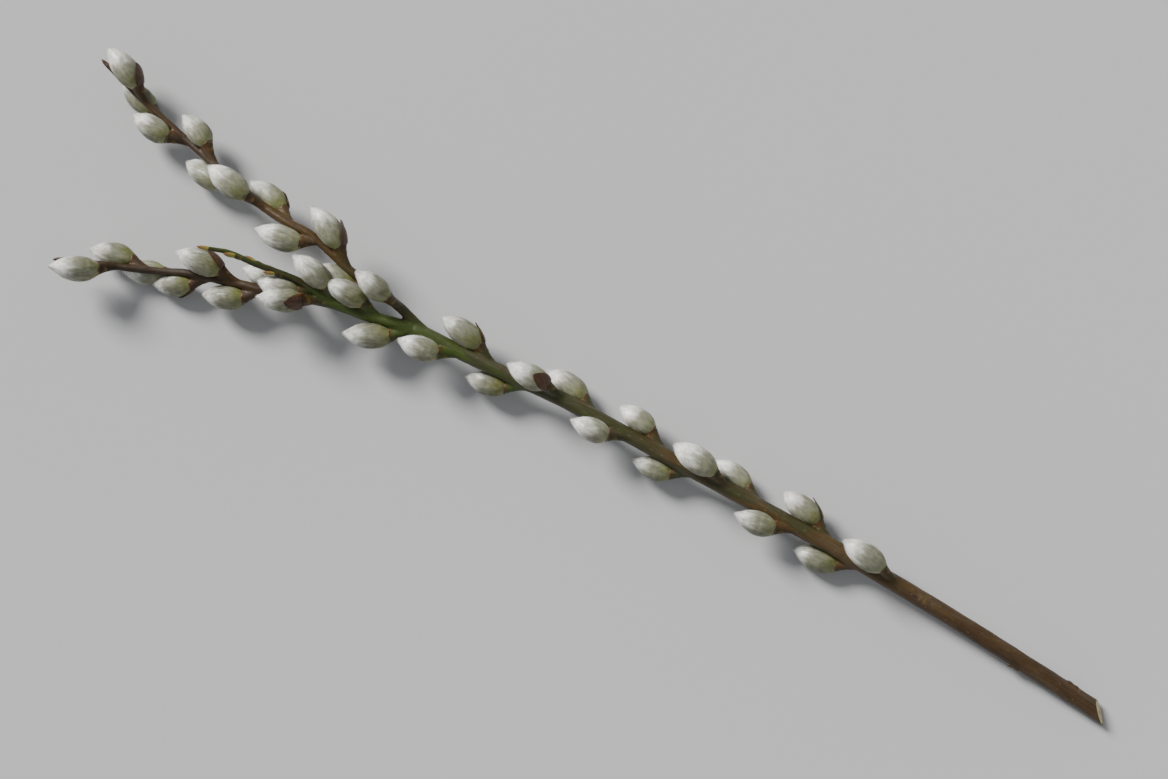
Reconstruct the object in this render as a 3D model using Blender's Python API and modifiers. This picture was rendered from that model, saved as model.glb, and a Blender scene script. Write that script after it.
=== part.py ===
"""A forked pussy willow branch, cut and laid on a flat surface.

One stem forks twice, into two long shoots and a short twig. Silky catkins sit on widened
shoulders of the bark in a spiral up each shoot, each shoot ends in a bud, and the bare foot of
the stem carries small dormant buds. The tips point to -X, +Z is up and the surface is Z = 0,
where a spot under the foot and one catkin on each long shoot are pressed flat.
"""

import math
import random

import bmesh
import bpy
from mathutils import Matrix, Vector

MM = 0.001
BRANCH = "willow_branch"
SEED = 11

# Centre lines from foot to tip: x, y, height and bark radius, all in millimetres.
STEM = (
    (233.4, -4.6, 3.15, 3.6),
    (198.4, -1.6, 4.6, 3.5),
    (157.4, 1.4, 6.7, 3.4),
    (116.4, 3.2, 9.5, 3.25),
    (74.4, 4.0, 10.7, 3.1),
    (32.4, 4.4, 11.8, 3.0),
    (-9.6, 4.8, 12.3, 2.9),
    (-29.6, 3.6, 12.5, 2.85),
    (-48.6, 2.6, 12.8, 2.85),
    (-72.6, 2.2, 13.2, 2.9),
)
LEFT = (
    (-62.6, 2.4, 13.0, 1.6),
    (-72.6, 2.2, 13.2, 2.5),
    (-88.6, -1.2, 13.8, 2.45),
    (-106.6, -3.8, 14.4, 2.5),
    (-119.6, -8.2, 14.2, 2.1),
    (-131.6, -11.8, 13.4, 1.95),
    (-142.6, -14.4, 12.0, 1.8),
    (-161.6, -19.6, 10.5, 1.6),
    (-171.6, -23.8, 9.9, 1.5),
    (-182.6, -28.4, 10.4, 1.4),
    (-195.6, -33.4, 11.8, 1.3),
    (-207.6, -38.6, 14.0, 1.1),
)
RIGHT = (
    (-62.6, 2.8, 12.8, 1.2),
    (-72.6, 3.8, 13.6, 1.9),
    (-81.6, 6.4, 15.2, 1.95),
    (-90.1, 8.0, 16.8, 1.8),
    (-98.6, 8.8, 18.2, 1.7),
    (-108.6, 10.6, 19.4, 1.7),
    (-119.6, 13.6, 20.2, 1.75),
    (-127.6, 15.0, 20.2, 1.8),
    (-136.6, 15.0, 19.4, 1.8),
    (-149.6, 16.6, 17.2, 1.75),
    (-167.6, 20.8, 13.8, 1.65),
    (-183.6, 24.8, 10.6, 1.5),
    (-198.6, 28.6, 9.25, 1.4),
    (-214.1, 32.8, 10.05, 1.25),
    (-229.6, 37.4, 12.2, 1.05),
)
TWIG = (
    (-99.6, -3.0, 14.2, 1.2),
    (-106.6, -3.6, 15.0, 1.8),
    (-119.6, -3.0, 18.4, 1.5),
    (-127.6, -3.6, 21.2, 1.3),
    (-139.6, -5.6, 25.0, 1.15),
    (-149.1, -6.5, 27.8, 1.0),
    (-156.6, -9.2, 30.2, 0.85),
)
SHOOTS = {"stem": STEM, "left": LEFT, "right": RIGHT, "twig": TWIG}
STEP = 6.0  # between the rings of a shoot
BEVEL_RESOLUTION = 2  # eight sides

# Catkins of a shoot: first one, gap, count, first bearing and turn. Bearing 0 is to the right of
# the shoot as it grows, 90 faces up. REST is the one that the shoot lies on.
CATKINS = {
    "stem": (106.0, 14.6, 14, 70.0, 144.0, None),
    "left": (21.0, 11.6, 10, 190.0, -144.0, 8),
    "right": (27.0, 13.6, 10, 100.0, 144.0, 9),
    "twig": (13.0, 9.0, 2, 20.0, 180.0, None),
}
SHOOT_ENDS = {"left": 125.0, "right": 50.0}  # bearing of the last catkin
END_CATKIN = 14.0  # from the shoot's end
# Buds of a shoot: first one, gap, count, first bearing, turn and length.
BUDS = {
    "stem": (18.0, 23.0, 4, 30.0, 144.0, 3.6),
    "twig": (32.0, 8.5, 3, 170.0, 165.0, 4.6),
}

CATKIN_LENGTH = 17.0
CATKIN_RADIUS = 4.7
CATKIN_SIDES = 9
# Share of the length and share of the greatest radius, from the tip down to the base.
CATKIN_PROFILE = (
    (1.0, 0.0),
    (0.955, 0.16),
    (0.86, 0.42),
    (0.73, 0.70),
    (0.58, 0.91),
    (0.41, 1.0),
    (0.24, 0.93),
    (0.10, 0.72),
    (0.0, 0.48),
    (0.0, 0.0),
)
LEAN = math.radians(12.0)
SHOULDER_LENGTH = 9.0
SHOULDER_RADIUS = 2.5
SHOULDER_OFFSET = 2.9  # of its rim's centre from the bark
CLEAR_OF_GROUND = 52.0  # degrees from straight down that a catkin keeps, unless it rests

FOOT_CUT = math.radians(38.0)
SPARE = 40.0  # how far the cutters reach past the branch


def smooth_line(points):
    """The centre line as a Catmull-Rom curve with a point about every STEP mm."""
    ends = [points[0], *points, points[-1]]
    rings = []
    for p0, p1, p2, p3 in zip(ends, ends[1:], ends[2:], ends[3:]):
        steps = max(1, round(math.dist(p1[:3], p2[:3]) / STEP))
        for i in range(steps):
            t = i / steps
            rings.append(
                [
                    0.5 * (2 * b + (c - a) * t + (2 * a - 5 * b + 4 * c - d) * t**2
                           + (3 * b - a - 3 * c + d) * t**3)
                    for a, b, c, d in zip(p0, p1, p2, p3)
                ]
            )
    return [*rings, list(points[-1])]


def along(rings, distance):
    """The centre, direction and radius at a distance in mm from a smooth line's start."""
    for a, b in zip(rings, rings[1:]):
        start, end = Vector(a[:3]), Vector(b[:3])
        length = (end - start).length
        if distance <= length or b is rings[-1]:
            share = distance / length
            radius = a[3] + (b[3] - a[3]) * share
            return start.lerp(end, share), (end - start).normalized(), radius
        distance -= length


def line_length(rings):
    return sum(math.dist(a[:3], b[:3]) for a, b in zip(rings, rings[1:]))


def outward(direction, bearing):
    """The unit vector that leaves a shoot at a bearing in degrees."""
    side = direction.cross(Vector((0, 0, 1))).normalized()
    up = side.cross(direction)
    angle = math.radians(bearing)
    return math.cos(angle) * side + math.sin(angle) * up


def aimed(origin, axis, scale=(1, 1, 1)):
    """A matrix that puts local +Z along axis at origin, with sizes in millimetres."""
    turn = axis.to_track_quat("Z", "Y").to_matrix().to_4x4()
    return Matrix.Translation(origin * MM) @ turn @ Matrix.Diagonal((*scale, 1.0))


def material(name, colour, roughness):
    made = bpy.data.materials.new(name)
    made.use_nodes = True
    shader = made.node_tree.nodes["Principled BSDF"]
    shader.inputs["Base Color"].default_value = (*colour, 1.0)
    shader.inputs["Roughness"].default_value = roughness
    shader.inputs["Metallic"].default_value = 0.0
    return made


def add_object(name, mesh, matrix, collection):
    obj = bpy.data.objects.new(name, mesh)
    obj.matrix_world = matrix
    collection.objects.link(obj)
    return obj


def mesh_of(obj, weld):
    """A new mesh from the evaluated object, with loose ends welded. The object is removed."""
    bpy.context.view_layer.update()
    graph = bpy.context.evaluated_depsgraph_get()
    mesh = bpy.data.meshes.new_from_object(obj.evaluated_get(graph), depsgraph=graph)
    shape = bmesh.new()
    shape.from_mesh(mesh)
    bmesh.ops.remove_doubles(shape, verts=shape.verts, dist=weld)
    bmesh.ops.recalc_face_normals(shape, faces=shape.faces)
    shape.to_mesh(mesh)
    shape.free()
    bpy.data.objects.remove(obj)
    return mesh


def shoot_mesh(name, rings):
    """A tapering rod along a smooth line, as a bevelled curve made into a mesh."""
    curve = bpy.data.curves.new(name, "CURVE")
    curve.dimensions = "3D"
    curve.bevel_depth = MM
    curve.bevel_resolution = BEVEL_RESOLUTION
    curve.use_fill_caps = True
    spline = curve.splines.new("POLY")
    spline.points.add(len(rings) - 1)
    for point, (x, y, z, radius) in zip(spline.points, rings):
        point.co = (x * MM, y * MM, z * MM, 1.0)
        point.radius = radius
    obj = add_object(name, curve, Matrix(), bpy.context.scene.collection)
    return mesh_of(obj, 1e-5)


def catkin_mesh():
    """An egg-shaped catkin of unit length and radius, turned from its profile."""
    mesh = bpy.data.meshes.new("catkin_profile")
    points = [(share * MM, 0.0, height * MM) for height, share in CATKIN_PROFILE]
    mesh.from_pydata(points, [(i, i + 1) for i in range(len(points) - 1)], [])
    obj = add_object("catkin_profile", mesh, Matrix(), bpy.context.scene.collection)
    screw = obj.modifiers.new("turn", "SCREW")
    screw.steps = screw.render_steps = CATKIN_SIDES
    screw.use_merge_vertices = True
    screw.merge_threshold = 1e-6
    return mesh_of(obj, 1e-6)


def cone_mesh(name, radius_low, radius_high, sides):
    """A cone of unit height from z 0 up, with its radii in millimetres."""
    mesh = bpy.data.meshes.new(name)
    shape = bmesh.new()
    bmesh.ops.create_cone(
        shape, cap_ends=True, segments=sides, depth=MM,
        radius1=radius_low * MM, radius2=radius_high * MM,
        matrix=Matrix.Translation((0, 0, MM / 2)),
    )
    shape.to_mesh(mesh)
    shape.free()
    return mesh


def add_catkin(rings, distance, bearing, size, shapes, repeats):
    """A catkin on its shoulder at a distance along a shoot."""
    centre, direction, radius = along(rings, distance)
    away = outward(direction, bearing)
    rim = centre + away * (radius + SHOULDER_OFFSET)
    root = centre - direction * SHOULDER_LENGTH + away * (radius - 1.2)
    axis = math.cos(LEAN) * direction + math.sin(LEAN) * away
    length = (rim - root).length + 0.4
    add_object("shoulder", shapes["shoulder"], aimed(root, rim - root, (1, 1, length)), repeats)
    width = CATKIN_RADIUS * (0.5 + 0.5 * size)
    scale = (width, width, CATKIN_LENGTH * size)
    add_object("catkin", shapes["catkin"], aimed(rim - axis * 0.7, axis, scale), repeats)


def add_bud(rings, distance, bearing, length, shapes, repeats):
    """A small pointed bud that leans out of a shoot."""
    centre, direction, radius = along(rings, distance)
    away = outward(direction, bearing)
    axis = (direction + 0.45 * away).normalized()
    root = centre + away * (radius - 0.9)
    add_object("bud", shapes["bud"], aimed(root, axis, (1, 1, length)), repeats)


def add_repeats(lines, shapes, repeats):
    """Catkins, buds and shoot ends, each placed by its shoot's rule."""
    draw = random.Random(SEED)
    for name, (first, gap, count, start, turn, rest) in CATKINS.items():
        for i in range(count):
            bearing = start + turn * i + draw.uniform(-10, 10)
            distance = first + gap * i + draw.uniform(-1.0, 1.0)
            size = draw.uniform(0.9, 1.1)
            down = (bearing + 90.0 + 180.0) % 360.0 - 180.0
            if i == rest:
                down, size = 0.0, 1.0
            elif abs(down) < CLEAR_OF_GROUND:
                down = math.copysign(CLEAR_OF_GROUND, down)
            add_catkin(lines[name], distance, down - 90.0, size, shapes, repeats)
    for name, bearing in SHOOT_ENDS.items():
        end = line_length(lines[name])
        add_catkin(lines[name], end - END_CATKIN, bearing, 1.08, shapes, repeats)
        add_bud(lines[name], end - 1.0, bearing + 180.0, 4.0, shapes, repeats)
    add_bud(lines["twig"], line_length(lines["twig"]) - 1.0, 90.0, 5.0, shapes, repeats)
    for name, (first, gap, count, start, turn, length) in BUDS.items():
        for i in range(count):
            add_bud(lines[name], first + gap * i, start + turn * i, length, shapes, repeats)


def fuse(branch, repeats):
    """Joins everything in the collection to the branch and removes it."""
    join = branch.modifiers.new("join", "BOOLEAN")
    join.operation = "UNION"
    join.operand_type = "COLLECTION"
    join.collection = repeats
    bpy.context.view_layer.objects.active = branch
    bpy.ops.object.modifier_apply(modifier=join.name)
    for obj in list(repeats.objects):
        bpy.data.objects.remove(obj)
    bpy.data.collections.remove(repeats)


def add_cutter(name, size, matrix, collection):
    mesh = bpy.data.meshes.new(name)
    shape = bmesh.new()
    bmesh.ops.create_cube(shape, size=1.0, matrix=Matrix.Diagonal((*(s * MM for s in size), 1)))
    shape.to_mesh(mesh)
    shape.free()
    cutter = add_object(name, mesh, matrix, collection)
    cutter.hide_render = True
    cutter.display_type = "WIRE"
    return cutter


def add_cutters(collection):
    """The surface that presses the low spots flat, and the slanting cut at the foot."""
    reach = 2 * (STEM[0][0] + SPARE)
    add_cutter("surface", (reach, reach, SPARE),
               Matrix.Translation((0, 0, -SPARE / 2 * MM)), collection)
    foot = Vector(STEM[0][:3]) * MM
    slant = Matrix.Rotation(FOOT_CUT, 4, "Z")
    back = Matrix.Translation((SPARE / 2 * MM, 0, 0))
    add_cutter("foot_cut", (SPARE, SPARE, SPARE),
               Matrix.Translation(foot + Vector((-3.4 * MM, 0, 0))) @ slant @ back, collection)


def main():
    for obj in list(bpy.data.objects):
        bpy.data.objects.remove(obj)
    scene = bpy.context.scene
    home = bpy.data.collections.new(BRANCH)
    cutters = bpy.data.collections.new("cutters")
    repeats = bpy.data.collections.new("repeats")
    for collection in (home, cutters, repeats):
        scene.collection.children.link(collection)

    lines = {name: smooth_line(points) for name, points in SHOOTS.items()}
    branch = add_object(BRANCH, shoot_mesh("stem", lines["stem"]), Matrix(), home)
    branch.data.materials.append(material("bark_and_catkins", (0.30, 0.27, 0.20), 0.6))
    for name in ("left", "right", "twig"):
        add_object(name, shoot_mesh(name, lines[name]), Matrix(), repeats)
    shapes = {
        "catkin": catkin_mesh(),
        "shoulder": cone_mesh("shoulder", 0.9, SHOULDER_RADIUS, 8),
        "bud": cone_mesh("bud", 1.2, 0.25, 6),
    }
    add_repeats(lines, shapes, repeats)
    fuse(branch, repeats)
    add_cutters(cutters)
    press = branch.modifiers.new("press", "BOOLEAN")
    press.operation = "DIFFERENCE"
    press.operand_type = "COLLECTION"
    press.collection = cutters
    branch.data.name = BRANCH


main()
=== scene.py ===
"""A forked pussy willow branch with silky catkins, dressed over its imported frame.

The branch lies on its side on a pale surface, tips towards -X, and the camera looks down on it.
Lengths in the tables below are in millimetres, in the frame's axes.
"""

import math
import random

import bmesh
import bpy
import numpy as np
from bpy.props import FloatProperty, FloatVectorProperty, IntProperty, PointerProperty
from mathutils import Matrix, Vector, noise
from mathutils.kdtree import KDTree


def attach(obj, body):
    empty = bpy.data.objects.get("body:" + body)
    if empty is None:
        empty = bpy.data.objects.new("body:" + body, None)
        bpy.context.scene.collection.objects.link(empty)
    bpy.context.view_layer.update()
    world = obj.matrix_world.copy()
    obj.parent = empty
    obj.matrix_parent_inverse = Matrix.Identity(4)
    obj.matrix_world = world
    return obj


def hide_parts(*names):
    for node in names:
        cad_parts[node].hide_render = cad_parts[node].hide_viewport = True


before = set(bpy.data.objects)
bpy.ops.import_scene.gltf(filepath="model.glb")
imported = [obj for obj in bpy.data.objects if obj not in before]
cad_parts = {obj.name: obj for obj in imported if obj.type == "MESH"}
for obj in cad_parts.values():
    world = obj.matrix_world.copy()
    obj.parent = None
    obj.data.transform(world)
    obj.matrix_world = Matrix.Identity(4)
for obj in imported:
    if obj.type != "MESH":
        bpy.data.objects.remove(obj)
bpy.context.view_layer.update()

bl_info = {
    "name": "Pussy Willow Branch",
    "version": (1, 0, 0),
    "blender": (4, 5, 0),
    "location": "View3D > Sidebar > Willow",
    "description": "Grows a forked willow branch with bark, buds and silky catkins",
    "category": "Add Mesh",
}

MM = 0.001
NODE = "willow_branch"
SEED = 11
BAKE_MAP = "OFBake"

# Centre lines from foot to tip: x, y, height and bark radius.
STEM = (
    (233.4, -4.6, 3.15, 3.6), (198.4, -1.6, 4.6, 3.5), (157.4, 1.4, 6.7, 3.4),
    (116.4, 3.2, 9.5, 3.25), (74.4, 4.0, 10.7, 3.1), (32.4, 4.4, 11.8, 3.0),
    (-9.6, 4.8, 12.3, 2.9), (-29.6, 3.6, 12.5, 2.85), (-48.6, 2.6, 12.8, 2.85),
    (-72.6, 2.2, 13.2, 2.9),
)
LEFT = (
    (-62.6, 2.4, 13.0, 1.6), (-72.6, 2.2, 13.2, 2.5), (-88.6, -1.2, 13.8, 2.45),
    (-106.6, -3.8, 14.4, 2.5), (-119.6, -8.2, 14.2, 2.1), (-131.6, -11.8, 13.4, 1.95),
    (-142.6, -14.4, 12.0, 1.8), (-161.6, -19.6, 10.5, 1.6), (-171.6, -23.8, 9.9, 1.5),
    (-182.6, -28.4, 10.4, 1.4), (-195.6, -33.4, 11.8, 1.3), (-207.6, -38.6, 14.0, 1.1),
)
RIGHT = (
    (-62.6, 2.8, 12.8, 1.2), (-72.6, 3.8, 13.6, 1.9), (-81.6, 6.4, 15.2, 1.95),
    (-90.1, 8.0, 16.8, 1.8), (-98.6, 8.8, 18.2, 1.7), (-108.6, 10.6, 19.4, 1.7),
    (-119.6, 13.6, 20.2, 1.75), (-127.6, 15.0, 20.2, 1.8), (-136.6, 15.0, 19.4, 1.8),
    (-149.6, 16.6, 17.2, 1.75), (-167.6, 20.8, 13.8, 1.65), (-183.6, 24.8, 10.6, 1.5),
    (-198.6, 28.6, 9.25, 1.4), (-214.1, 32.8, 10.05, 1.25), (-229.6, 37.4, 12.2, 1.05),
)
TWIG = (
    (-99.6, -3.0, 14.2, 1.2), (-106.6, -3.6, 15.0, 1.8), (-119.6, -3.0, 18.4, 1.5),
    (-127.6, -3.6, 21.2, 1.3), (-139.6, -5.6, 25.0, 1.15), (-149.1, -6.5, 27.8, 1.0),
    (-156.6, -9.2, 30.2, 0.85),
)
SHOOTS = {"stem": STEM, "left": LEFT, "right": RIGHT, "twig": TWIG}
RULE_STEP, BARK_STEP = 6.0, 1.5

# Catkins of a shoot: first one, gap, count, first bearing, turn and which one it lies on.
# Bearing 0 is to the right of the shoot as it grows, and 90 faces up.
CATKINS = {
    "stem": (106.0, 14.6, 14, 70.0, 144.0, None),
    "left": (21.0, 11.6, 10, 190.0, -144.0, 8),
    "right": (27.0, 13.6, 10, 100.0, 144.0, 9),
    "twig": (13.0, 9.0, 2, 20.0, 180.0, None),
}
SHOOT_ENDS = {"left": 125.0, "right": 50.0}
END_CATKIN = 14.0
# Buds of a shoot: first one, gap, count, first bearing, turn and length.
BUDS = {
    "stem": (18.0, 23.0, 4, 30.0, 144.0, 3.6),
    "twig": (32.0, 8.5, 3, 170.0, 165.0, 4.6),
}
# Share of the length and of the greatest radius, from a catkin's base up to its tip.
PROFILE_HEIGHT = (0.0, 0.05, 0.12, 0.24, 0.41, 0.58, 0.73, 0.86, 0.945, 1.0, 1.06, 1.6)
PROFILE_SHARP = (0.46, 0.6, 0.75, 0.92, 1.0, 0.92, 0.72, 0.44, 0.2, 0.055, 0.03, 0.01)
PROFILE_BLUNT = (0.46, 0.6, 0.76, 0.94, 1.0, 0.97, 0.85, 0.62, 0.37, 0.10, 0.03, 0.01)
CATKIN_LENGTH, CATKIN_RADIUS = 17.0, 4.7
CATKIN_SEED, HAIR_SEED = 1000, 500
LEAN = math.radians(12.0)
SCALE_SHARE = 0.3  # of the catkins, that still carry a scale
SHOULDER_LENGTH, SHOULDER_RADIUS, SHOULDER_OFFSET, SHOULDER_EDGE = 9.0, 2.5, 2.9, 3.6
CLEAR_OF_GROUND = 52.0
GROUND = 0.03  # the lowest that anything reaches
FOOT_CUT = math.radians(38.0)
FOOT_RISE = math.radians(22.0)
FOOT_INSET = 4.0
CUT_MAP, CUT_MAP_SIZE = (0.80, 0.86), (0.045, 0.09)
GOLDEN = math.pi * (3 - math.sqrt(5))

# Bark tone along each shoot: 0 is green, 0.3 olive, 0.55 orange-brown, 0.8 red-brown, 1 dark.
TONES = {
    "stem": ((0, 50, 110, 170, 240, 307), (0.94, 0.86, 0.47, 0.33, 0.24, 0.12)),
    "left": ((0, 12, 40, 50, 62, 100, 155), (0.14, 0.08, 0.06, 0.40, 0.84, 0.96, 0.86)),
    "right": ((0, 20, 60, 90, 180), (0.24, 0.48, 0.60, 0.74, 0.82)),
    "twig": ((0, 20, 50, 62), (0.12, 0.24, 0.36, 0.48)),
}


def smooth_line(points, step):
    """The centre line as a Catmull-Rom curve, an array of x, y, z and radius."""
    ends = [points[0], *points, points[-1]]
    rings = []
    for p0, p1, p2, p3 in zip(ends, ends[1:], ends[2:], ends[3:]):
        steps = max(1, round(math.dist(p1[:3], p2[:3]) / step))
        for i in range(steps):
            t = i / steps
            rings.append(
                [
                    0.5 * (2 * b + (c - a) * t + (2 * a - 5 * b + 4 * c - d) * t**2
                           + (3 * b - a - 3 * c + d) * t**3)
                    for a, b, c, d in zip(p0, p1, p2, p3)
                ]
            )
    return np.array([*rings, list(points[-1])])


def distances(rings):
    """How far along its line each ring is."""
    steps = np.linalg.norm(np.diff(rings[:, :3], axis=0), axis=1)
    return np.concatenate([[0.0], np.cumsum(steps)])


def along(rings, distance):
    """The centre, direction and radius at a distance from a line's start."""
    far = distances(rings)
    i = int(np.clip(np.searchsorted(far, distance) - 1, 0, len(rings) - 2))
    share = (distance - far[i]) / (far[i + 1] - far[i])
    at = rings[i] + (rings[i + 1] - rings[i]) * share
    return at[:3], unit(rings[i + 1, :3] - rings[i, :3]), float(at[3])


def unit(v):
    return v / np.linalg.norm(v, axis=-1, keepdims=True)


def outward(direction, bearing):
    """The unit vector that leaves a shoot at a bearing in degrees."""
    side = unit(np.cross(direction, (0.0, 0.0, 1.0)))
    up = np.cross(side, direction)
    angle = math.radians(bearing)
    return math.cos(angle) * side + math.sin(angle) * up


LINES = {name: smooth_line(points, RULE_STEP) for name, points in SHOOTS.items()}


class Catkin:
    """Where one catkin and the shoulder under it sit, and what sets it apart from the rest."""

    def __init__(self, shoot, distance, bearing, size, number):
        centre, direction, radius = along(LINES[shoot], distance)
        self.shoot, self.size, self.number = shoot, size, number
        self.centre, self.direction, self.radius = centre, direction, radius
        self.length, self.width = CATKIN_LENGTH * size, CATKIN_RADIUS * (0.5 + 0.5 * size)
        self.away = outward(direction, bearing)
        self.rim = centre + self.away * (radius + SHOULDER_OFFSET)
        self.root = centre - direction * SHOULDER_LENGTH + self.away * (radius - 1.2)
        self.axis = math.cos(LEAN) * direction + math.sin(LEAN) * self.away
        self.base = self.rim - self.axis * 0.7
        self.out = unit(self.away - self.axis * float(self.away @ self.axis))
        self.side = np.cross(self.axis, self.out)
        own = random.Random(CATKIN_SEED + number)
        self.phase = own.uniform(0, 2 * math.pi)
        self.shade = own.uniform(0, 1)
        self.bend = own.uniform(0.2, 0.8)
        self.has_scale = own.random() < SCALE_SHARE
        self.scale_reach = own.uniform(0.38, 0.54)
        self.blunt = own.uniform(0.25, 1.0)

    def share(self, height):
        """The radius at a height, as a share of the greatest."""
        sharp, blunt = (np.interp(height, PROFILE_ROWS, table) for table in PROFILES)
        return sharp + (blunt - sharp) * self.blunt

    def turned(self, local):
        """A local direction in world axes: x faces out of the shoot, z runs to the tip."""
        return local @ np.array([self.out, self.side, self.axis])

    def placed(self, local):
        return self.base + self.turned(local)


def place_catkins():
    """Every catkin, by the same rule and the same draws as in the frame's solid."""
    draw = random.Random(SEED)
    found = []
    for shoot, (first, gap, count, start, turn, rest) in CATKINS.items():
        for i in range(count):
            bearing = start + turn * i + draw.uniform(-10, 10)
            distance = first + gap * i + draw.uniform(-1.0, 1.0)
            size = draw.uniform(0.9, 1.1)
            down = (bearing + 270.0) % 360.0 - 180.0
            if i == rest:
                down, size = 0.0, 1.0
            elif abs(down) < CLEAR_OF_GROUND:
                down = math.copysign(CLEAR_OF_GROUND, down)
            found.append(Catkin(shoot, distance, down - 90.0, size, len(found)))
    for shoot, bearing in SHOOT_ENDS.items():
        end = distances(LINES[shoot])[-1]
        found.append(Catkin(shoot, end - END_CATKIN, bearing, 1.08, len(found)))
    return found


def place_buds():
    """(centre, direction, away, radius, length, is the shoot's end, is ripe) of every bud."""
    found = []
    for shoot, bearing in [*SHOOT_ENDS.items(), ("twig", -90.0)]:
        end = distances(LINES[shoot])[-1]
        centre, direction, radius = along(LINES[shoot], end - 1.0)
        length = 5.0 if shoot == "twig" else 4.0
        away = outward(direction, bearing + 180.0)
        found.append((centre, direction, away, radius, length, True, shoot != "twig"))
    for shoot, (first, gap, count, start, turn, length) in BUDS.items():
        for i in range(count):
            centre, direction, radius = along(LINES[shoot], first + gap * i)
            away = outward(direction, start + turn * i)
            found.append((centre, direction, away, radius, length, False, shoot != "twig"))
    return found


ALL_CATKINS = place_catkins()


# Meshes from arrays.


def tube(rings, sides, offset=0, caps=True):
    """Faces of a closed tube whose points come ring by ring, anticlockwise seen from its end."""
    i, j = np.meshgrid(np.arange(rings - 1), np.arange(sides), indexing="ij")
    low, high = i * sides + j, i * sides + (j + 1) % sides
    quads = np.stack([low, high, high + sides, low + sides], -1).reshape(-1, 4) + offset
    if not caps:
        return [quads]
    turn = np.arange(sides)
    start = turn[::-1][None] + offset
    end = turn[None] + (rings - 1) * sides + offset
    return [quads, start, end]


def ball(rings, sides, offset=0):
    """Faces of a tube closed to a point at both ends: the rings, then the low and high point."""
    turn = np.arange(sides)
    low, high = rings * sides, rings * sides + 1
    after = (turn + 1) % sides
    last = (rings - 1) * sides
    bottom = np.stack([after, turn, np.full(sides, low)], 1) + offset
    top = np.stack([turn + last, after + last, np.full(sides, high)], 1) + offset
    return [*tube(rings, sides, offset, caps=False), bottom, top]


def slab(rows, columns, offset=0):
    """Faces of a closed sheet: a grid of outer points, then the same grid of inner points."""
    i, j = np.meshgrid(np.arange(rows - 1), np.arange(columns - 1), indexing="ij")
    a = (i * columns + j).ravel()
    outer = np.stack([a, a + 1, a + columns + 1, a + columns], 1)
    inner = outer[:, ::-1] + rows * columns
    rim = np.concatenate(
        [
            np.arange(columns),
            np.arange(1, rows) * columns + columns - 1,
            (rows - 1) * columns + np.arange(columns - 2, -1, -1),
            np.arange(rows - 2, 0, -1) * columns,
        ]
    )
    after = np.roll(rim, -1)
    edge = np.stack([after, rim, rim + rows * columns, after + rows * columns], 1)
    return [f + offset for f in (outer, inner, edge)]


def joined(parts):
    """One (points, faces) from several, each with faces counted from its own first point."""
    points, faces, offset = [], [], 0
    for part_points, part_faces in parts:
        points.append(part_points)
        faces += [f + offset for f in part_faces]
        offset += len(part_points)
    return np.concatenate(points), faces


def make_object(name, points, faces):
    """A smooth mesh object from points in millimetres and arrays of faces."""
    mesh = bpy.data.meshes.new(name)
    counts = np.concatenate([np.full(len(f), f.shape[1]) for f in faces])
    corners = np.concatenate([f.ravel() for f in faces]).astype(np.int32)
    mesh.vertices.add(len(points))
    mesh.vertices.foreach_set("co", (points * MM).astype(np.float32).ravel())
    mesh.loops.add(len(corners))
    mesh.loops.foreach_set("vertex_index", corners)
    mesh.polygons.add(len(counts))
    starts = np.concatenate([[0], np.cumsum(counts)[:-1]]).astype(np.int32)
    mesh.polygons.foreach_set("loop_start", starts)
    mesh.polygons.foreach_set("use_smooth", np.ones(len(counts), bool))
    mesh.update(calc_edges=True)
    obj = bpy.data.objects.new(name, mesh)
    bpy.context.scene.collection.objects.link(obj)
    return obj


def read(items, field, width=1, kind=np.int32):
    """A field of all of a mesh's points, corners or faces, as one flat array."""
    values = np.empty(len(items) * width, kind)
    items.foreach_get(field, values)
    return values


def vectors(mesh, field):
    """The place ("co") or the normal of every point."""
    return read(mesh.vertices, field, 3, np.float32).reshape(-1, 3).astype(float)


def set_attribute(mesh, name, values):
    """Stores a number or a vector for each point."""
    kind, field = ("FLOAT", "value") if values.ndim == 1 else ("FLOAT_VECTOR", "vector")
    attribute = mesh.attributes.new(name, kind, "POINT")
    attribute.data.foreach_set(field, values.astype(np.float32).ravel())


def set_map(mesh, across, up, wrap=None):
    """Lays the bake's map from two numbers a point. A face that crosses the seam of a wrapped
    one, whose turn is that wide, is laid past its end."""
    corner = read(mesh.loops, "vertex_index")
    u, v = across[corner], up[corner]
    if wrap:
        starts = read(mesh.polygons, "loop_start")
        high = np.repeat(np.maximum.reduceat(v, starts), np.diff(np.append(starts, len(v))))
        v = np.where(high - v > wrap / 2, v + wrap, v)
    layer = mesh.uv_layers.new(name=BAKE_MAP)
    layer.uv.foreach_set("vector", np.stack([u, v], 1).astype(np.float32).ravel())


def dress(obj, material):
    """Gives a piece its material and its body, and hides the node that it stands for."""
    obj.data.materials.append(material)
    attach(obj, "root")
    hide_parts(NODE)
    return obj


# Node trees.

COLOUR, NUMBER, VECTOR = "NodeSocketColor", "NodeSocketFloat", "NodeSocketVector"
GREY = (0.5, 0.5, 0.5, 1.0)
BARK_TINTS = ("Green", "Olive", "Orange", "Red Brown", "Dark")
TINT_PLACES = (0.06, 0.30, 0.55, 0.80, 1.0)
SILK_TINTS = ("Base", "Flank", "Tip")
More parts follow.
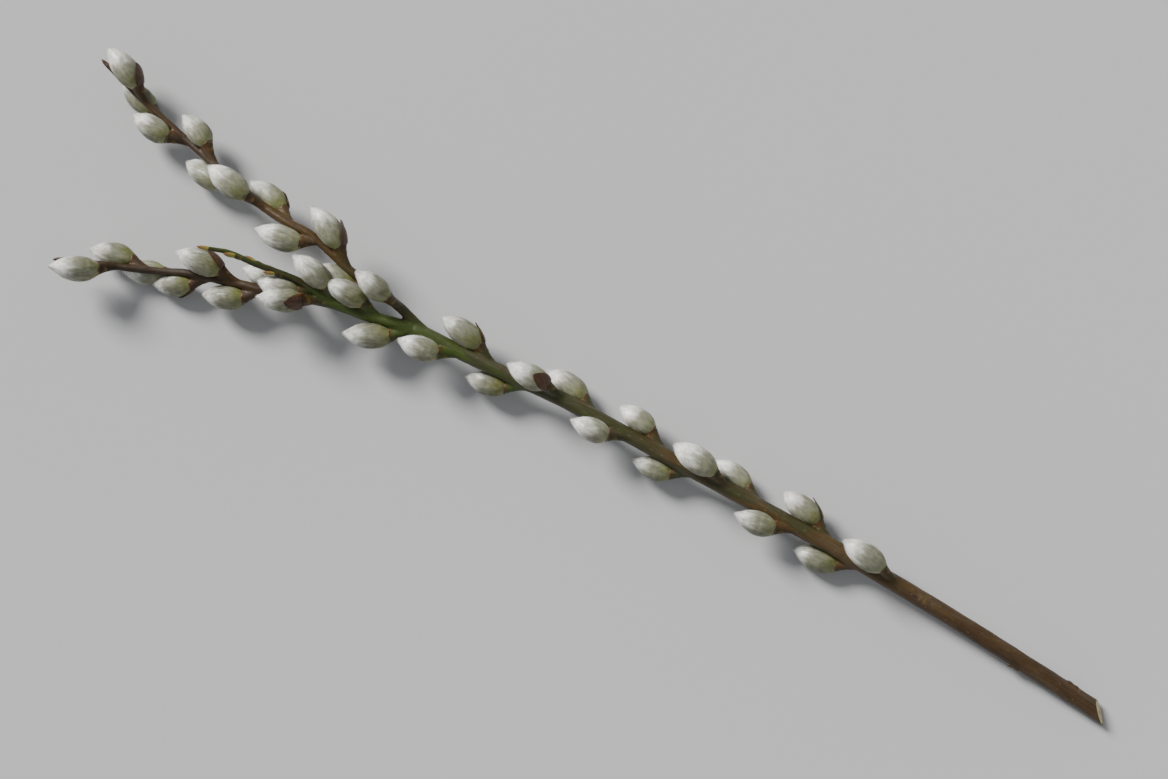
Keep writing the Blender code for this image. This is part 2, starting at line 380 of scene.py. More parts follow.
# Noises: the stretch of each axis, the detail and the roughness.
BARK_LINES = (0.10, 1.7, 1.7), 5.0, 0.62
BARK_BLOTCH = (0.07, 0.24, 0.24), 4.0, 0.6
BARK_FISSURES = (0.32, 2.9, 2.9), 3.0, 0.55
BARK_BLOOM = (0.05, 0.30, 0.30), 5.0, 0.7
SILK_STREAKS = (5.0, 5.0, 0.32), 5.0, 0.65
SILK_PATCHES = (0.34, 0.34, 0.14), 2.0, 0.5
SILK_TUFTS = (0.95, 0.95, 0.42), 2.0, 0.5
SCALE_MOTTLE = (1.1, 1.1, 0.22), 5.0, 0.6
BUD_MOTTLE = (2.0, 2.0, 0.7), 3.0, 0.5
LENTICEL_STRETCH = (0.42, 0.80, 0.80)


def plug(tree, node, links):
    """Links a node's inputs, or sets them where a plain value is given."""
    for key, value in links.items():
        if isinstance(value, bpy.types.NodeSocket):
            tree.links.new(value, node.inputs[key])
        else:
            node.inputs[key].default_value = value


def add(tree, kind, links=None, **settings):
    """A node with its settings made and its inputs linked or set."""
    made = tree.nodes.new(kind)
    for name, value in settings.items():
        setattr(made, name, value)
    plug(tree, made, links or {})
    return made


def maths(tree, operation, a, b, clamp=False):
    node = add(tree, "ShaderNodeMath", {0: a, 1: b}, operation=operation, use_clamp=clamp)
    return node.outputs[0]


def product(tree, value, *others):
    for other in others:
        value = maths(tree, "MULTIPLY", value, other)
    return value


def stretched(tree, vector, scale):
    node = add(tree, "ShaderNodeVectorMath", {0: vector, 1: scale}, operation="MULTIPLY")
    return node.outputs[0]


def clouds(tree, place, noise_kind):
    """One of the noises above, over a place in millimetres."""
    stretch, detail, roughness = noise_kind
    links = {"Vector": stretched(tree, place, stretch), "Scale": 1.0, "Detail": detail}
    return add(tree, "ShaderNodeTexNoise", {**links, "Roughness": roughness}).outputs[0]


def mixed(tree, factor, a, b, blend="MIX"):
    node = add(tree, "ShaderNodeMix", {0: factor, 6: a, 7: b}, data_type="RGBA", blend_type=blend)
    return node.outputs[2]


def shaded(tree, colour, value):
    """A colour times a plain value."""
    grey = add(tree, "ShaderNodeCombineColor", {0: value, 1: value, 2: value}).outputs[0]
    return mixed(tree, 1.0, colour, grey, "MULTIPLY")


def ramp(tree, factor, stops):
    """A colour ramp through (place, colour) stops."""
    node = add(tree, "ShaderNodeValToRGB", {0: factor})
    elements = node.color_ramp.elements
    while len(elements) < len(stops):
        elements.new(0.5)
    for element, (place, colour) in zip(elements, stops):
        element.position, element.color = place, (*colour, 1.0)
    return node.outputs[0]


def band(tree, value, low, high):
    """0 under low and 1 over high, smooth between."""
    links = {0: value, 1: low, 2: high}
    return add(tree, "ShaderNodeMapRange", links, interpolation_type="SMOOTHSTEP").outputs[0]


def graded(tree, value, low, high):
    """Straight from low where the value is 0 to high where it is 1."""
    return add(tree, "ShaderNodeMapRange", {0: value, 3: low, 4: high}, clamp=False).outputs[0]


def bump(tree, height, strength, distance):
    links = {"Height": height, "Strength": strength, "Distance": distance}
    return add(tree, "ShaderNodeBump", links).outputs[0]


def new_group(name, inputs, outputs):
    """A shader node group, with each input's default (None for a vector) and output's type."""
    tree = bpy.data.node_groups.new(name, "ShaderNodeTree")
    for label, default in inputs.items():
        kind = VECTOR if default is None else COLOUR if default is GREY else NUMBER
        socket = tree.interface.new_socket(label, in_out="INPUT", socket_type=kind)
        if default is not None:
            socket.default_value = default
    for label, kind in outputs.items():
        tree.interface.new_socket(label, in_out="OUTPUT", socket_type=kind)
    return tree, tree.nodes.new("NodeGroupInput").outputs, tree.nodes.new("NodeGroupOutput")


def bark_group():
    """Willow bark: tone by place, fine lengthwise lines, blotches, lenticels, scars and rims."""
    tree, given, end = new_group(
        "Willow Bark",
        {"Vector": None, "Tone": 0.5, "Rim": 0.0, "Scar": 0.0,
         **dict.fromkeys(BARK_TINTS, GREY)},
        {"Color": COLOUR, "Roughness": NUMBER, "Height": NUMBER},
    )
    grain = given["Vector"]
    lines, blotch = clouds(tree, grain, BARK_LINES), clouds(tree, grain, BARK_BLOTCH)
    fissure = band(tree, clouds(tree, grain, BARK_FISSURES), 0.56, 0.70)
    bloom = band(tree, clouds(tree, grain, BARK_BLOOM), 0.46, 0.68)
    place = stretched(tree, grain, LENTICEL_STRETCH)
    cells = add(tree, "ShaderNodeTexVoronoi", {"Vector": place, "Scale": 1.0})
    picked = add(tree, "ShaderNodeSeparateColor", {0: cells.outputs["Color"]}).outputs[0]
    spot = maths(tree, "SUBTRACT", 1.0, band(tree, cells.outputs["Distance"], 0.08, 0.26))
    spot = product(tree, spot, band(tree, picked, 0.45, 0.9))
    tone = maths(tree, "ADD", given["Tone"], graded(tree, blotch, -0.475, 0.475), clamp=True)
    colour = given[BARK_TINTS[0]]
    for tint, low, high in zip(BARK_TINTS[1:], TINT_PLACES, TINT_PLACES[1:]):
        colour = mixed(tree, band(tree, tone, low, high), colour, given[tint])
    shade = product(tree, graded(tree, lines, 0.55, 1.45), graded(tree, fissure, 1.0, 0.72))
    colour = shaded(tree, colour, shade)
    for mask, strength, tint in (
        (bloom, 0.18, (0.11, 0.10, 0.08, 1.0)),
        (spot, 0.5, (0.19, 0.125, 0.06, 1.0)),
        (given["Scar"], 0.7, (0.22, 0.125, 0.032, 1.0)),
        (given["Rim"], 0.7, (0.100, 0.042, 0.013, 1.0)),
    ):
        colour = mixed(tree, product(tree, mask, strength), colour, tint)
    rough = maths(tree, "ADD", graded(tree, lines, 0.32, 0.54), product(tree, bloom, 0.12))
    height = maths(tree, "ADD", product(tree, lines, 0.5), product(tree, spot, 0.6))
    height = maths(tree, "SUBTRACT", height, product(tree, fissure, 0.5))
    plug(tree, end, {"Color": colour, "Roughness": rough, "Height": height})
    return tree


def silk_group():
    """Catkin silk: greenish at the base, silver on the flanks and white at the tip, the white
    partly the silk's own colour and partly a painted highlight, streaked lengthwise, with Fleck
    setting one hair or catkin apart from the next."""
    tree, given, end = new_group(
        "Willow Silk",
        {"Local": None, **dict.fromkeys(("Height", "Fleck", "Shade"), 0.5),
         **dict.fromkeys(SILK_TINTS, GREY)},
        {"Color": COLOUR, "Roughness": NUMBER, "Bump": NUMBER},
    )
    streaks, patches, tufts = (
        clouds(tree, given["Local"], kind) for kind in (SILK_STREAKS, SILK_PATCHES, SILK_TUFTS)
    )
    place = maths(tree, "ADD", given["Height"], graded(tree, patches, -0.30, 0.30))
    place = maths(tree, "ADD", place, graded(tree, given["Shade"], -0.10, 0.10), clamp=True)
    colour = mixed(tree, band(tree, place, 0.02, 0.42), given["Base"], given["Flank"])
    # The white towards the tip is partly the silk's own colour and partly a painted highlight,
    # where the key light falls brightest.
    colour = mixed(tree, band(tree, place, 0.46, 0.94), colour, given["Tip"])
    shade = product(
        tree, graded(tree, streaks, 0.82, 1.18), graded(tree, given["Fleck"], 0.93, 1.07),
        graded(tree, given["Shade"], 0.86, 1.10),
        graded(tree, band(tree, tufts, 0.34, 0.64), 0.78, 1.05),
    )
    rough = graded(tree, streaks, 0.24, 0.42)
    plug(tree, end, {"Color": shaded(tree, colour, shade), "Roughness": rough, "Bump": streaks})
    return tree


def new_material(name):
    """A material with a Principled shader, and its tree."""
    material = bpy.data.materials.new(name)
    material.use_nodes = True
    tree = material.node_tree
    return material, tree, tree.nodes["Principled BSDF"]


def attribute(tree, name, field="Fac"):
    return add(tree, "ShaderNodeAttribute", attribute_name=name).outputs[field]


def use_group(tree, group, place, numbers, tints):
    """A group's outputs, from stored numbers of the same names and from plain colours."""
    links = {
        **place,
        **{name: attribute(tree, name.lower()) for name in numbers},
        **{name: (*tint, 1.0) for name, tint in tints.items()},
    }
    return add(tree, "ShaderNodeGroup", links, node_tree=group).outputs


def bark_material(settings):
    material, tree, shader = new_material("willow_bark")
    tints = {tint: getattr(settings, tint.lower().replace(" ", "_")) for tint in BARK_TINTS}
    place = {"Vector": attribute(tree, "grain", "Vector")}
    found = use_group(tree, bark_group(), place, ("Tone", "Rim", "Scar"), tints)
    plug(tree, shader, {
        "Base Color": found["Color"], "Roughness": found["Roughness"], "Specular IOR Level": 0.3,
        "Normal": bump(tree, found["Height"], 0.5, 0.00025),
    })
    return material


def cut_material():
    """Freshly cut wood: pith, pale rings, a green line under the bark and the bark's edge."""
    material, tree, shader = new_material("cut_wood")
    place = add(tree, "ShaderNodeTexCoord").outputs["Object"]
    wobble = add(tree, "ShaderNodeTexNoise", {"Vector": place, "Scale": 900.0}).outputs[0]
    grain = add(tree, "ShaderNodeTexNoise", {"Vector": place, "Scale": 5000.0}).outputs[0]
    radius = maths(tree, "ADD", attribute(tree, "reach"), graded(tree, wobble, -0.03, 0.03))
    colour = ramp(tree, radius, (
        (0.0, (0.20, 0.11, 0.04)), (0.13, (0.24, 0.14, 0.06)), (0.18, (0.60, 0.47, 0.26)),
        (0.52, (0.66, 0.54, 0.33)), (0.56, (0.52, 0.40, 0.21)), (0.60, (0.68, 0.57, 0.36)),
        (0.84, (0.66, 0.56, 0.34)), (0.88, (0.30, 0.34, 0.10)), (0.93, (0.22, 0.24, 0.07)),
        (0.97, (0.12, 0.06, 0.03)),
    ))
    normal = bump(tree, grain, 0.3, 0.0001)
    plug(tree, shader, {"Base Color": colour, "Roughness": 0.7, "Normal": normal})
    return material


def silk_material(name, settings):
    material, tree, shader = new_material(name)
    group = bpy.data.node_groups.get("Willow Silk") or silk_group()
    tints = {tint: getattr(settings, f"{tint.lower()}_colour") for tint in SILK_TINTS}
    place = {"Local": attribute(tree, "local", "Vector")}
    found = use_group(tree, group, place, ("Height", "Fleck", "Shade"), tints)
    plug(tree, shader, {
        "Base Color": found["Color"], "Roughness": found["Roughness"], "Specular IOR Level": 0.6,
        "Sheen Weight": 0.15, "Sheen Roughness": 0.4,
        "Normal": bump(tree, found["Bump"], 0.15, 0.0002),
    })
    return material


def scale_material(settings):
    """Dry bud scale: brown, darker and orange by turns, glossy."""
    material, tree, shader = new_material("bud_scale")
    mottle = clouds(tree, attribute(tree, "local", "Vector"), SCALE_MOTTLE)
    mottle = band(tree, mottle, 0.25, 0.75)
    colour = mixed(tree, mottle, (*settings.scale_dark, 1.0), (*settings.scale_light, 1.0))
    normal = bump(tree, mottle, 0.4, 0.00015)
    plug(tree, shader, {"Base Color": colour, "Roughness": 0.42, "Normal": normal})
    return material


def bud_material(settings):
    """Leaf bud: yellow-green at the base through orange to a dark tip."""
    material, tree, shader = new_material("leaf_bud")
    base, middle, tip, light, dark = (
        (*tint, 1.0) for tint in (settings.bud_base, settings.bud_middle, settings.bud_tip,
                                  settings.scale_light, settings.scale_dark)
    )
    mottle = clouds(tree, attribute(tree, "local", "Vector"), BUD_MOTTLE)
    height = maths(tree, "ADD", attribute(tree, "height"), graded(tree, mottle, -0.25, 0.25))
    colour = mixed(tree, band(tree, height, 0.20, 0.66), base, middle)
    colour = mixed(tree, band(tree, height, 0.66, 1.0), colour, tip)
    ripe = mixed(tree, band(tree, height, 0.0, 0.9), light, dark)
    colour = mixed(tree, attribute(tree, "ripe"), colour, ripe)
    normal = bump(tree, mottle, 0.3, 0.00015)
    plug(tree, shader, {"Base Color": colour, "Roughness": 0.4, "Normal": normal})
    return material


# Bark.

SHOOT_SIDES, SHOULDER_SIDES, SHOULDER_STEPS = 20, 18, 12
CATKIN_REACH, BUD_REACH = 5.5, 4.5  # how far their marks on the bark can be from them
FORK_BLEND = 0.5  # the depth over which one shoot's tone gives way to another's
MAP_START, MAP_LENGTH, MAP_TURN = 6.0, 325.0, 0.7


def sweep(centres, radii, sides, hint=None):
    """Rings of points round a path, anticlockwise seen from its end, carried without twist."""
    ways = unit(np.gradient(centres, axis=0))
    across = hint if hint is not None else np.cross(ways[0], (0.0, 0.0, 1.0))
    turn = np.linspace(0, 2 * np.pi, sides, endpoint=False)
    rings = []
    for centre, way, radius in zip(centres, ways, radii):
        across = unit(across - way * float(across @ way))
        other = np.cross(way, across)
        side, over = np.cos(turn)[:, None] * across, np.sin(turn)[:, None] * other
        rings.append(centre + radius * side + radius * over)
    return np.concatenate(rings)


def shoulder(catkin):
    """The widened bark under a catkin, which leaves the shoot in a curve."""
    start, end = catkin.root, catkin.rim + catkin.axis * 0.25
    middle = start + catkin.direction * 5.2 + catkin.away * 0.9
    t = np.linspace(0, 1, SHOULDER_STEPS)[:, None]
    path = start * (1 - t) ** 2 + 2 * middle * t * (1 - t) + end * t**2
    radii = 1.0 + (SHOULDER_RADIUS - 1.0) * t[:, 0] ** 1.1 + 0.12 * (t[:, 0] > 0.9)
    return sweep(path, radii, SHOULDER_SIDES, catkin.out), tube(len(t), SHOULDER_SIDES)


def domed(rings):
    """The rings of a shoot with its end rounded off."""
    end, way = rings[-1], unit(rings[-1, :3] - rings[-2, :3])
    turn = np.linspace(0, np.pi / 2, 6)[1:-1, None]
    centres = end[:3] + way * end[3] * 1.3 * np.sin(turn)
    return np.concatenate([rings, np.hstack([centres, end[3] * np.cos(turn)])])


def bark_skin(settings):
    """The shoots and shoulders grown into one skin."""
    parts = []
    for line in SHOOTS.values():
        rings = domed(smooth_line(line, BARK_STEP))
        points = sweep(rings[:, :3], rings[:, 3] + 0.06, SHOOT_SIDES)
        parts.append((points, tube(len(rings), SHOOT_SIDES)))
    parts += [shoulder(catkin) for catkin in ALL_CATKINS]
    obj = make_object("bark", *joined(parts))
    skin = obj.modifiers.new("skin", "REMESH")
    skin.mode = "VOXEL"
    skin.voxel_size = settings.grain_size
    skin.use_smooth_shade = True
    soften = obj.modifiers.new("soften", "SMOOTH")
    soften.factor, soften.iterations = 0.5, 4
    bpy.context.view_layer.update()
    graph = bpy.context.evaluated_depsgraph_get()
    grown = bpy.data.meshes.new_from_object(obj.evaluated_get(graph), depsgraph=graph)
    obj.modifiers.clear()
    obj.data = grown
    return obj


def tree_of(points):
    tree = KDTree(len(points))
    for i, point in enumerate(points):
        tree.insert(point, i)
    tree.balance()
    return tree


def near(tree, points, place, reach):
    """The indexes of the points within reach of a place, and their offsets from it."""
    found = np.array([i for _, i, _ in tree.find_range(Vector(place), reach)], int)
    return found, points[found] - place


def bell(x, x_width, y=0.0, y_width=1.0):
    """1 in the middle and falling off on all sides."""
    return np.exp(-((x / x_width) ** 2) - (y / y_width) ** 2)


def shape_bark(mesh):
    """Adds what is too fine for the skin, and notes where the rims and scars are."""
    points, normals = vectors(mesh, "co") / MM, vectors(mesh, "normal")
    tree = tree_of(points)
    rim, scar, push = (np.zeros(len(points)) for _ in range(3))
    for catkin in ALL_CATKINS:
        found, offset = near(tree, points, catkin.rim, CATKIN_REACH)
        height, across = offset @ catkin.axis, offset @ catkin.side
        aside = np.linalg.norm(offset - height[:, None] * catkin.axis, axis=1)
        on_shoulder = aside < SHOULDER_EDGE
        rim[found] = np.maximum(rim[found], bell(height + 0.3, 0.8) * on_shoulder)
        push[found] += 0.12 * bell(height + 0.4, 0.35) * on_shoulder
        mark = bell(height + 3.4, 0.75, across, 1.3) * (offset @ catkin.out > 0.3)
        scar[found] = np.maximum(scar[found], mark)
        push[found] += 0.22 * mark
    for centre, direction, away, radius, _, at_end, _ in place_buds():
        if at_end:
            continue
        seat = centre + away * radius - direction * 0.5
        found, offset = near(tree, points, seat, BUD_REACH)
        height, across = offset @ direction, offset @ np.cross(direction, away)
        facing = (points[found] - centre) @ away > 0
        push[found] += 0.5 * facing * bell(height, 1.6, across, 1.3)
        mark = facing * bell(height + 1.5, 0.5, across, 1.1)
        scar[found] = np.maximum(scar[found], mark)
    for i, point in enumerate(points):
        at = Vector((point[0] * 0.16, point[1] * 0.5, point[2] * 0.5))
        push[i] += 0.12 * noise.noise(at) + 0.05 * noise.noise(at * 3.1)
    points += normals * push[:, None]
    points[:, 2] = np.maximum(points[:, 2], GROUND)
    mesh.vertices.foreach_set("co", (points * MM).astype(np.float32).ravel())
    mesh.update()
    set_attribute(mesh, "rim", rim)
    set_attribute(mesh, "scar", scar)


def keep_outer_skin(shape):
    """Deletes the skins of the small hollows that the forks leave inside."""
    edge = [max(shape.verts, key=lambda v: v.co.x)]
    reached = set(edge)
    while edge:
        beyond = {e.other_vert(v) for v in edge for e in v.link_edges} - reached
        reached |= beyond
        edge = list(beyond)
    bmesh.ops.delete(shape, geom=[v for v in shape.verts if v not in reached])


def cut_foot(mesh):
    """Slants the foot off, leaving a flat face with the second material, and notes the reach
    from that face's middle (0) to its rim (1)."""
    shape = bmesh.new()
    shape.from_mesh(mesh)
    at = (Vector(STEM[0][:3]) - Vector((FOOT_INSET, 0, 0))) * MM
    flat = math.cos(FOOT_RISE)
    way = Vector((flat * math.cos(FOOT_CUT), flat * math.sin(FOOT_CUT), math.sin(FOOT_RISE)))
    found = bmesh.ops.bisect_plane(
        shape, geom=[*shape.verts, *shape.edges, *shape.faces], dist=1e-7,
        plane_co=at, plane_no=way, clear_outer=True,
    )
    keep_outer_skin(shape)
    edges = [e for e in found["geom_cut"] if isinstance(e, bmesh.types.BMEdge) and e.is_valid]
    made = bmesh.ops.edgeloop_fill(shape, edges=edges)
    reach = shape.verts.layers.float.new("reach")
    for vertex in {v for e in edges for v in e.verts}:
        vertex[reach] = 1.0
    for face in made["faces"]:
        face.material_index = 1
        face.smooth = False
        if face.normal.dot(way) < 0:
            face.normal_flip()
    for vertex in bmesh.ops.poke(shape, faces=made["faces"])["verts"]:
        vertex[reach] = 0.0
    shape.to_mesh(mesh)
    shape.free()


def beside(points, shoot):
    """How far along a shoot each point lies, its two offsets from the line and its depth."""
    rings = smooth_line(SHOOTS[shoot], 1.0)
    ways = unit(np.gradient(rings[:, :3], axis=0))
    tree = tree_of(rings[:, :3])
    nearest = np.array([tree.find(point)[1] for point in points])
    offset, way = points - rings[nearest, :3], ways[nearest]
    across = unit(np.cross(way, (0.0, 0.0, 1.0)))
    over = np.cross(across, way)
    far = distances(rings)[nearest] + (offset * way).sum(1)
    depth = np.linalg.norm(offset, axis=1) - rings[nearest, 3]
    return far, (offset * across).sum(1), (offset * over).sum(1), depth


def tell_bark(mesh):
    """Notes each point's tone and grain, blended where shoots meet, and lays the bake's map."""
    points = vectors(mesh, "co") / MM
    facts = np.array([beside(points, shoot) for shoot in SHOOTS])
    far, aside, above, depth = facts.transpose(1, 0, 2)
    shoot = depth.argmin(0)
    weight = np.exp(-(depth - depth.min(0)) / FORK_BLEND)
    weight /= weight.sum(0)
    turn = np.arctan2(above, aside) / (2 * np.pi) + 0.5
    tone = [
        np.interp(along_way, *TONES[name]) + 0.09 * np.sin(2 * np.pi * angle + along_way / 60.0)
        for name, along_way, angle in zip(SHOOTS, far, turn)
    ]
    set_attribute(mesh, "tone", (weight * tone).sum(0))
    grain = np.stack([-points[:, 0], (weight * aside).sum(0), (weight * above).sum(0)], 1)
    set_attribute(mesh, "grain", grain)
    mine = shoot, np.arange(len(points))
    rows = (shoot + turn[mine] * MAP_TURN + 0.02) / len(SHOOTS)
    set_map(mesh, (far[mine] + MAP_START) / MAP_LENGTH, rows, wrap=MAP_TURN / len(SHOOTS))


def map_cut(mesh):
    """Moves the cut face to a free place of the bake's map."""
    layer = mesh.uv_layers[BAKE_MAP]
    centre, radius = Vector(STEM[0][:3]) * MM, STEM[0][3] * MM
    (across, up), (wide, high) = CUT_MAP, CUT_MAP_SIZE
    for face in mesh.polygons:
        if face.material_index == 1:
            for i in face.loop_indices:
                offset = (mesh.vertices[mesh.loops[i].vertex_index].co - centre) / radius
                layer.uv[i].vector = across + wide * offset.y, up + high * offset.z


def build_bark(settings):
    obj = bark_skin(settings)
    shape_bark(obj.data)
    cut_foot(obj.data)
    tell_bark(obj.data)
    map_cut(obj.data)
    dress(obj, bark_material(settings))
    obj.data.materials.append(cut_material())


# Catkins.


def rounded_profile(radii):
    """A profile's radius at every row, with its corners rounded."""
    radii = np.interp(PROFILE_ROWS, PROFILE_HEIGHT, radii)
    padded = np.pad(radii, 40, mode="reflect", reflect_type="odd")
    for _ in range(2):
        padded = np.convolve(padded, np.ones(41) / 41, mode="same")
    return np.maximum(padded[40:-40], 0.004)


PROFILE_ROWS = np.linspace(0.0, 1.6, 1601)
PROFILES = rounded_profile(PROFILE_SHARP), rounded_profile(PROFILE_BLUNT)
BODY_RINGS, BODY_SIDES = 24, 24
SILK_SHIFT = 37.0  # moves each catkin to its own part of the noise
# A hair's places along its length, its half width there and its points' places.
HAIR_STEPS, HAIR_TAPER = np.array([0.0, 0.5, 1.0]), np.array([0.3, 0.5, 0.0])
HAIR_STEP_OF = np.array([0, 0, 0, 1, 1, 1, 2])
HAIR_FACES = (
    np.array([[2, 1, 0]]),
    np.array([[0, 1, 4, 3], [1, 2, 5, 4], [2, 0, 3, 5]]),
    np.array([[3, 4, 6], [4, 5, 6], [5, 3, 6]]),
)
HAIR_SPREAD = (-0.006, 0.006, 0.0, -0.005, 0.005, 0.0, 0.0)  # its width in the bake's map
HAIR_CLEARANCE = 0.12  # how far above the ground a hair has to stay


def silk_surface(catkin, height, turn):
    """Local points of a catkin's surface and its outward directions there."""
    share = catkin.share(height)
    slope = (catkin.share(height + 0.01) - catkin.share(height - 0.01)) / 0.02
    lobes = (
        1.0
        + 0.035 * np.cos(3 * turn + catkin.phase + 2.4 * height)
        + 0.02 * np.cos(5 * turn - 2 * catkin.phase - 4.0 * height)
        + 0.05 * np.cos(turn)
    )
    radius = catkin.width * share * lobes
    lean = slope * catkin.width / catkin.length
    size = np.sqrt(1 + lean**2)
    out = np.stack([np.cos(turn) / size, np.sin(turn) / size, -lean / size], -1)
    sag = -catkin.bend * np.clip(height, 0, 1.2) ** 2
    points = np.stack(
        [radius * np.cos(turn) + sag, radius * np.sin(turn), height * catkin.length], -1
    )
    return points, out


def turns(count):
    return np.arange(count) * 2 * np.pi / count


def pressed(points):
    """World points kept above the surface that the branch lies on."""
    points[..., 2] = np.maximum(points[..., 2], GROUND)
    return points


def collect(name, parts):
    """One object from the (world points, faces, attributes) of its parts."""
    obj = make_object(name, *joined([part[:2] for part in parts]))
    for key in parts[0][2]:
        set_attribute(obj.data, key, np.concatenate([facts[key] for _, _, facts in parts]))
    return obj


def build_bodies(settings):
    """The rounded heart of every catkin, which the fur lies on."""
    rows = [0.0, 0.015, 0.04, *np.linspace(0.08, 0.94, BODY_RINGS - 5), 0.975, 1.0]
    height, turn = np.meshgrid(rows, turns(BODY_SIDES), indexing="ij")
    height, turn = height.ravel(), turn.ravel()
    heights = np.concatenate([height, [0.0, 1.0]])
    row = np.concatenate([turn / (2 * np.pi), [0.5, 0.5]])
    parts = []
    for catkin in ALL_CATKINS:
        points, _ = silk_surface(catkin, height, turn)
        ends = np.array([[0, 0, -0.1], [-catkin.bend, 0, 1.012 * catkin.length]])
        local = np.concatenate([points, ends])
        # Fleck 0.9 makes the bodies a little lighter than the average hair: painted light, so the
        # shaded gaps between the hairs look less dark.
        facts = {"height": heights, "fleck": np.full(len(local), 0.9),
                 "shade": np.full(len(local), catkin.shade),
                 "local": local + catkin.number * SILK_SHIFT}
        parts.append((pressed(catkin.placed(local)), ball(BODY_RINGS, BODY_SIDES), facts))
    obj = collect("catkin_bodies", parts)
    numbers = np.repeat([catkin.number for catkin in ALL_CATKINS], len(row))
    set_map(obj.data, 0.02 + 0.96 * np.tile(heights, len(ALL_CATKINS)),
            (numbers + 0.9 * np.tile(row, len(ALL_CATKINS)) + 0.03) / len(ALL_CATKINS),
            wrap=0.9 / len(ALL_CATKINS))
    dress(obj, silk_material("catkin_silk", settings))


def blades(left, right, ridge, tip):
    """The seven points of every hair: three edges at its root and halfway, and its tip."""
    rings = np.stack([left, right, ridge], 2)
    return np.concatenate([rings[:, 0], rings[:, 1], tip[:, 2:3]], 1)


def fur(catkin, settings):
    """Hairs of one catkin, closed and lying along it towards its tip, with the way that each
    point faces and its row in the bake's map."""
    count = settings.hairs
    rng = np.random.default_rng(HAIR_SEED + catkin.number)
    inside = PROFILE_ROWS[(PROFILE_ROWS > 0.012) & (PROFILE_ROWS < 0.97)]
    share = np.cumsum(catkin.share(inside))
    order = (np.arange(count) + rng.random(count)) / count
    root = np.interp(order, share / share[-1], inside)
    turn = np.arange(count) * GOLDEN + rng.normal(0, 0.12, count)
    reach = rng.uniform(0.75, 1.2, count) * settings.hair_length / MM / catkin.length
    end = np.minimum(root + reach, 1.01 + 0.07 * rng.random(count))
    rise = 0.10 + 0.42 * rng.random(count) ** 3
    rise = np.where(rng.random(count) < 0.04, rise + rng.uniform(0.3, 0.8, count), rise)
    drift = rng.normal(0, 0.10, count)
    thick = settings.hair_thickness / MM * rng.uniform(0.7, 1.2, count)
    fleck = rng.random(count)
    height = root[:, None] + (end - root)[:, None] * HAIR_STEPS
    swing = turn[:, None] + drift[:, None] * HAIR_STEPS
    points, out = silk_surface(catkin, height, swing)
    lift = rise[:, None] * HAIR_STEPS**1.6 - 0.03
    points = points + out * lift[..., None]
    way = unit(points[:, 2] - points[:, 0])[:, None, :]
    across = unit(np.cross(way, out))
    half = (thick[:, None] * HAIR_TAPER)[..., None]
    ridge = points + out * half * 1.1
    local = blades(points + across * half, points - across * half, ridge, points)
    tilt = out + across * rng.normal(0, 0.16, count)[:, None, None]
    facing = blades(tilt + across * 0.55, tilt - across * 0.55, tilt, tilt)
    facing, world = catkin.turned(unit(facing)), catkin.placed(local)
    keep = world[:, :, 2].min(1) > GROUND + HAIR_CLEARANCE
    local, world, fleck, height, facing = (
        values[keep] for values in (local, world, fleck, height, facing)
    )
    count = len(world)
    first = (np.arange(count) * len(HAIR_STEP_OF))[:, None, None]
    faces = [(first + kind).reshape(-1, kind.shape[1]) for kind in HAIR_FACES]
    fleck = np.repeat(fleck, len(HAIR_STEP_OF))
    facts = {
        "height": height[:, HAIR_STEP_OF].ravel(),
        "fleck": fleck,
        "shade": np.full(len(fleck), catkin.shade),
        "local": local.reshape(-1, 3) + catkin.number * SILK_SHIFT,
    }
    row = fleck * 0.9 + 0.05 + np.tile(HAIR_SPREAD, count)
    return (world.reshape(-1, 3), faces, facts), facing.reshape(-1, 3), row


def build_fur(settings):
    """The fur of every shoot, the stem's in two pieces."""
    shoots = {name: [c for c in ALL_CATKINS if c.shoot == name] for name in SHOOTS}
    stem = shoots.pop("stem")
    half = len(stem) // 2
    rows = {"lower_stem": stem[:half], "upper_stem": stem[half:], **shoots}
    for name, catkins in rows.items():
        grow_fur(f"{name}_fur", catkins, settings)


def grow_fur(name, catkins, settings):
    parts, facing, rows = zip(*(fur(catkin, settings) for catkin in catkins))
    obj = collect(name, parts)
    obj.data.normals_split_custom_set_from_vertices(np.concatenate(facing))
    height = np.concatenate([facts["height"] for _, _, facts in parts])
    rows = np.concatenate([(i + row) / len(catkins) for i, row in enumerate(rows)])
    set_map(obj.data, 0.02 + 0.88 * height, rows)
    material = bpy.data.materials.get("catkin_fur") or silk_material("catkin_fur", settings)
    dress(obj, material)


# Scales, collars and buds.

BUD_RINGS, BUD_SIDES = 11, 14
SCALE_SHIFT, BUD_SHIFT = 11.0, 13.0


def collar(catkin):
    """The ragged ring that the bud scale left round a catkin's base."""
    sides, round_sides = 26, 8
    turn, small = turns(sides)[:, None], turns(round_sides)
    ragged = 0.05 * np.sin(5 * turn + catkin.phase) + 0.04 * np.sin(9 * turn - catkin.phase)
    big = 2.42 + ragged + 0.34 * np.cos(small)
    high = 0.62 + 1.5 * ragged + 0.42 * np.sin(small)
    local = np.stack([big * np.cos(turn), big * np.sin(turn), high], -1)
    i, j = np.meshgrid(np.arange(sides), np.arange(round_sides), indexing="ij")
    here, beyond, after = i * round_sides, (i + 1) % sides * round_sides, (j + 1) % round_sides
    faces = np.stack([here + j, beyond + j, beyond + after, here + after], -1)
    return local.reshape(-1, 3), [faces.reshape(-1, 4)]


